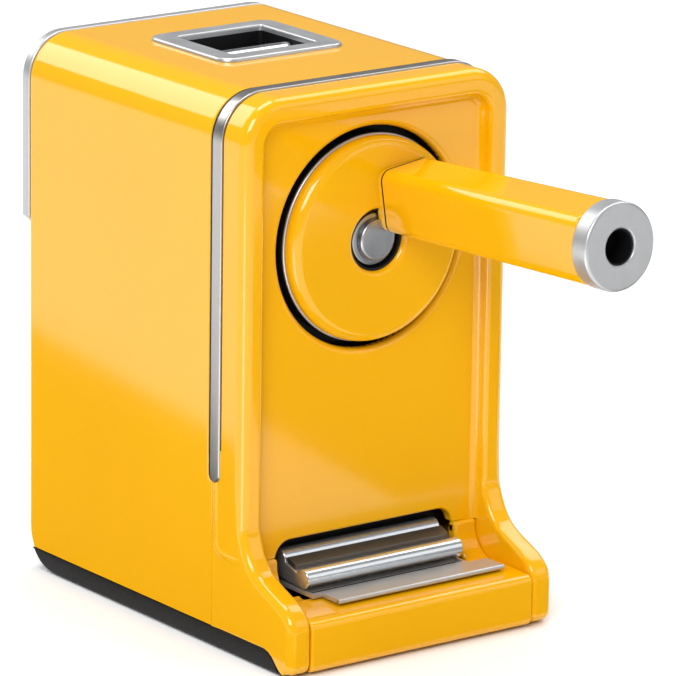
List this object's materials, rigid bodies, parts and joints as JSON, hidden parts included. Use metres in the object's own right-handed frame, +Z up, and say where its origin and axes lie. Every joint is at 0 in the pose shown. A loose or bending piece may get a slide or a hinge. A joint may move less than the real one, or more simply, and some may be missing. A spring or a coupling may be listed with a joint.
{
  "type": "crank pencil sharpener",
  "caption": "Desk pencil sharpener with a tall box housing, a front crank disc with a square grip, a top selector, a rear pencil feed and a shavings drawer.",
  "frame": {"origin": "on the table, under the middle of the housing's plan, feet resting at Z = 0", "axes": "+Z up, -Y towards the crank and the drawer, +Y towards the pencil port, +X to the right seen from the crank side"},
  "size_m": [0.0706, 0.1633, 0.1209],
  "materials": {
    "yellow_shell": "glossy moulded shell",
    "yellow_crank": "glossy moulded crank and grip",
    "bright_trim": "polished trim",
    "pressed_chrome": "plated pressing",
    "steel": "turned or cut steel",
    "cutter_steel": "hardened and ground",
    "die_cast": "as cast",
    "gear_brass": "machined",
    "black_plastic": "fine texture",
    "black_rubber": "matt",
    "ballast_iron": "as rolled, blackened"
  },
  "bodies": {
    "housing": {"casing": "yellow_shell", "front_cover": "yellow_shell", "toe_cover": "yellow_shell", "dish_liner": "black_plastic", "trim_band": "bright_trim", "rear_cover": "black_plastic", "base_plate": "black_plastic", "ballast_plate": "ballast_iron", "rubber_feet": "black_rubber", "grip_pad": "black_rubber", "base_screws": "steel", "case_bolts": "steel", "drawer_deck": "black_plastic", "shavings_hopper": "black_plastic", "top_bezel": "bright_trim", "well_floor": "black_plastic", "frame_front": "steel", "frame_rear": "steel", "frame_screws": "steel", "tie_rods": "steel", "ring_gear": "gear_brass", "spindle_bush": "gear_brass", "pencil_guide": "black_plastic", "rod_bushes": "gear_brass", "feed_spring_left": "steel", "feed_spring_right": "steel"},
    "crank": {"crank_disc": "yellow_crank", "disc_edge_ring": "bright_trim", "disc_drum": "black_plastic", "hub_nut": "bright_trim", "spindle": "steel", "spindle_spacer": "steel", "drive_pin": "steel", "grip_axle": "steel", "axle_nut": "steel", "axle_screw": "steel", "cutter_carrier": "die_cast", "cutter_pins": "steel"},
    "grip": {"grip_sleeve": "yellow_crank", "grip_ferrule": "bright_trim"},
    "cutter_left": {"cutter_2": "cutter_steel", "cutter_pinion_2": "gear_brass"},
    "cutter_right": {"cutter_1": "cutter_steel", "cutter_pinion_1": "gear_brass"},
    "drawer": {"shavings_tray": "black_plastic", "drawer_front": "pressed_chrome", "pull_tongue": "pressed_chrome"},
    "selector": {"selector_bar": "bright_trim", "selector_slide": "steel"},
    "feed_carriage": {"feed_plate": "bright_trim", "guide_rods": "pressed_chrome", "rod_collars": "steel", "jaw_cover": "black_plastic", "jaw_pins": "steel", "jaw_spring": "steel"},
    "jaw_left": {"jaw_lever_left": "black_plastic"},
    "jaw_right": {"jaw_lever_right": "black_plastic"}
  },
  "joints": [
    {"name": "crank_turn", "type": "hinge", "parent": "housing", "child": "crank", "pos_m": [0, -0.031, 0.0863], "axis": [0, 1, 0], "continuous": true},
    {"name": "grip_spin", "type": "hinge", "parent": "crank", "child": "grip", "pos_m": [0.00724, -0.031, 0.09524], "axis": [0.0329, -0.9986, 0.0407], "continuous": true},
    {"name": "cutter_right_spin", "type": "hinge", "parent": "crank", "child": "cutter_right", "pos_m": [0.00974, 0.0144, 0.0863], "axis": [0.1736, 0.9848, 0], "continuous": true},
    {"name": "cutter_left_spin", "type": "hinge", "parent": "crank", "child": "cutter_left", "pos_m": [-0.00974, 0.0144, 0.0863], "axis": [-0.1736, 0.9848, 0], "continuous": true},
    {"name": "drawer_slide", "type": "slide", "parent": "housing", "child": "drawer", "axis": [0, -1, 0], "range_m": [0, 0.05]},
    {"name": "selector_slide", "type": "slide", "parent": "housing", "child": "selector", "axis": [0, 1, 0], "range_m": [-0.0035, 0.0035]},
    {"name": "feed_slide", "type": "slide", "parent": "housing", "child": "feed_carriage", "axis": [0, 1, 0], "range_m": [0, 0.026], "stiffness_N_per_m": 60, "springref_m": -0.04, "deforming": ["feed_spring_left", "feed_spring_right"]},
    {"name": "jaw_left_squeeze", "type": "hinge", "parent": "feed_carriage", "child": "jaw_left", "pos_m": [-0.01, 0.054, 0.097], "axis": [0, 1, 0], "range_deg": [0, 16], "stiffness_Nm_per_rad": 0.2, "springref_deg": -11.46, "deforming": ["jaw_spring"]},
    {"name": "jaw_right_squeeze", "type": "hinge", "parent": "feed_carriage", "child": "jaw_right", "pos_m": [0.01, 0.054, 0.097], "axis": [0, 1, 0], "range_deg": [-16, 0], "stiffness_Nm_per_rad": 0.2, "springref_deg": 11.46}
  ],
  "couplings": [
    {"joint": "cutter_right_spin", "follows": "crank_turn", "ratio": -3.2},
    {"joint": "cutter_left_spin", "follows": "crank_turn", "ratio": -3.2},
    {"joint": "jaw_right_squeeze", "follows": "jaw_left_squeeze", "ratio": -1}
  ]
}
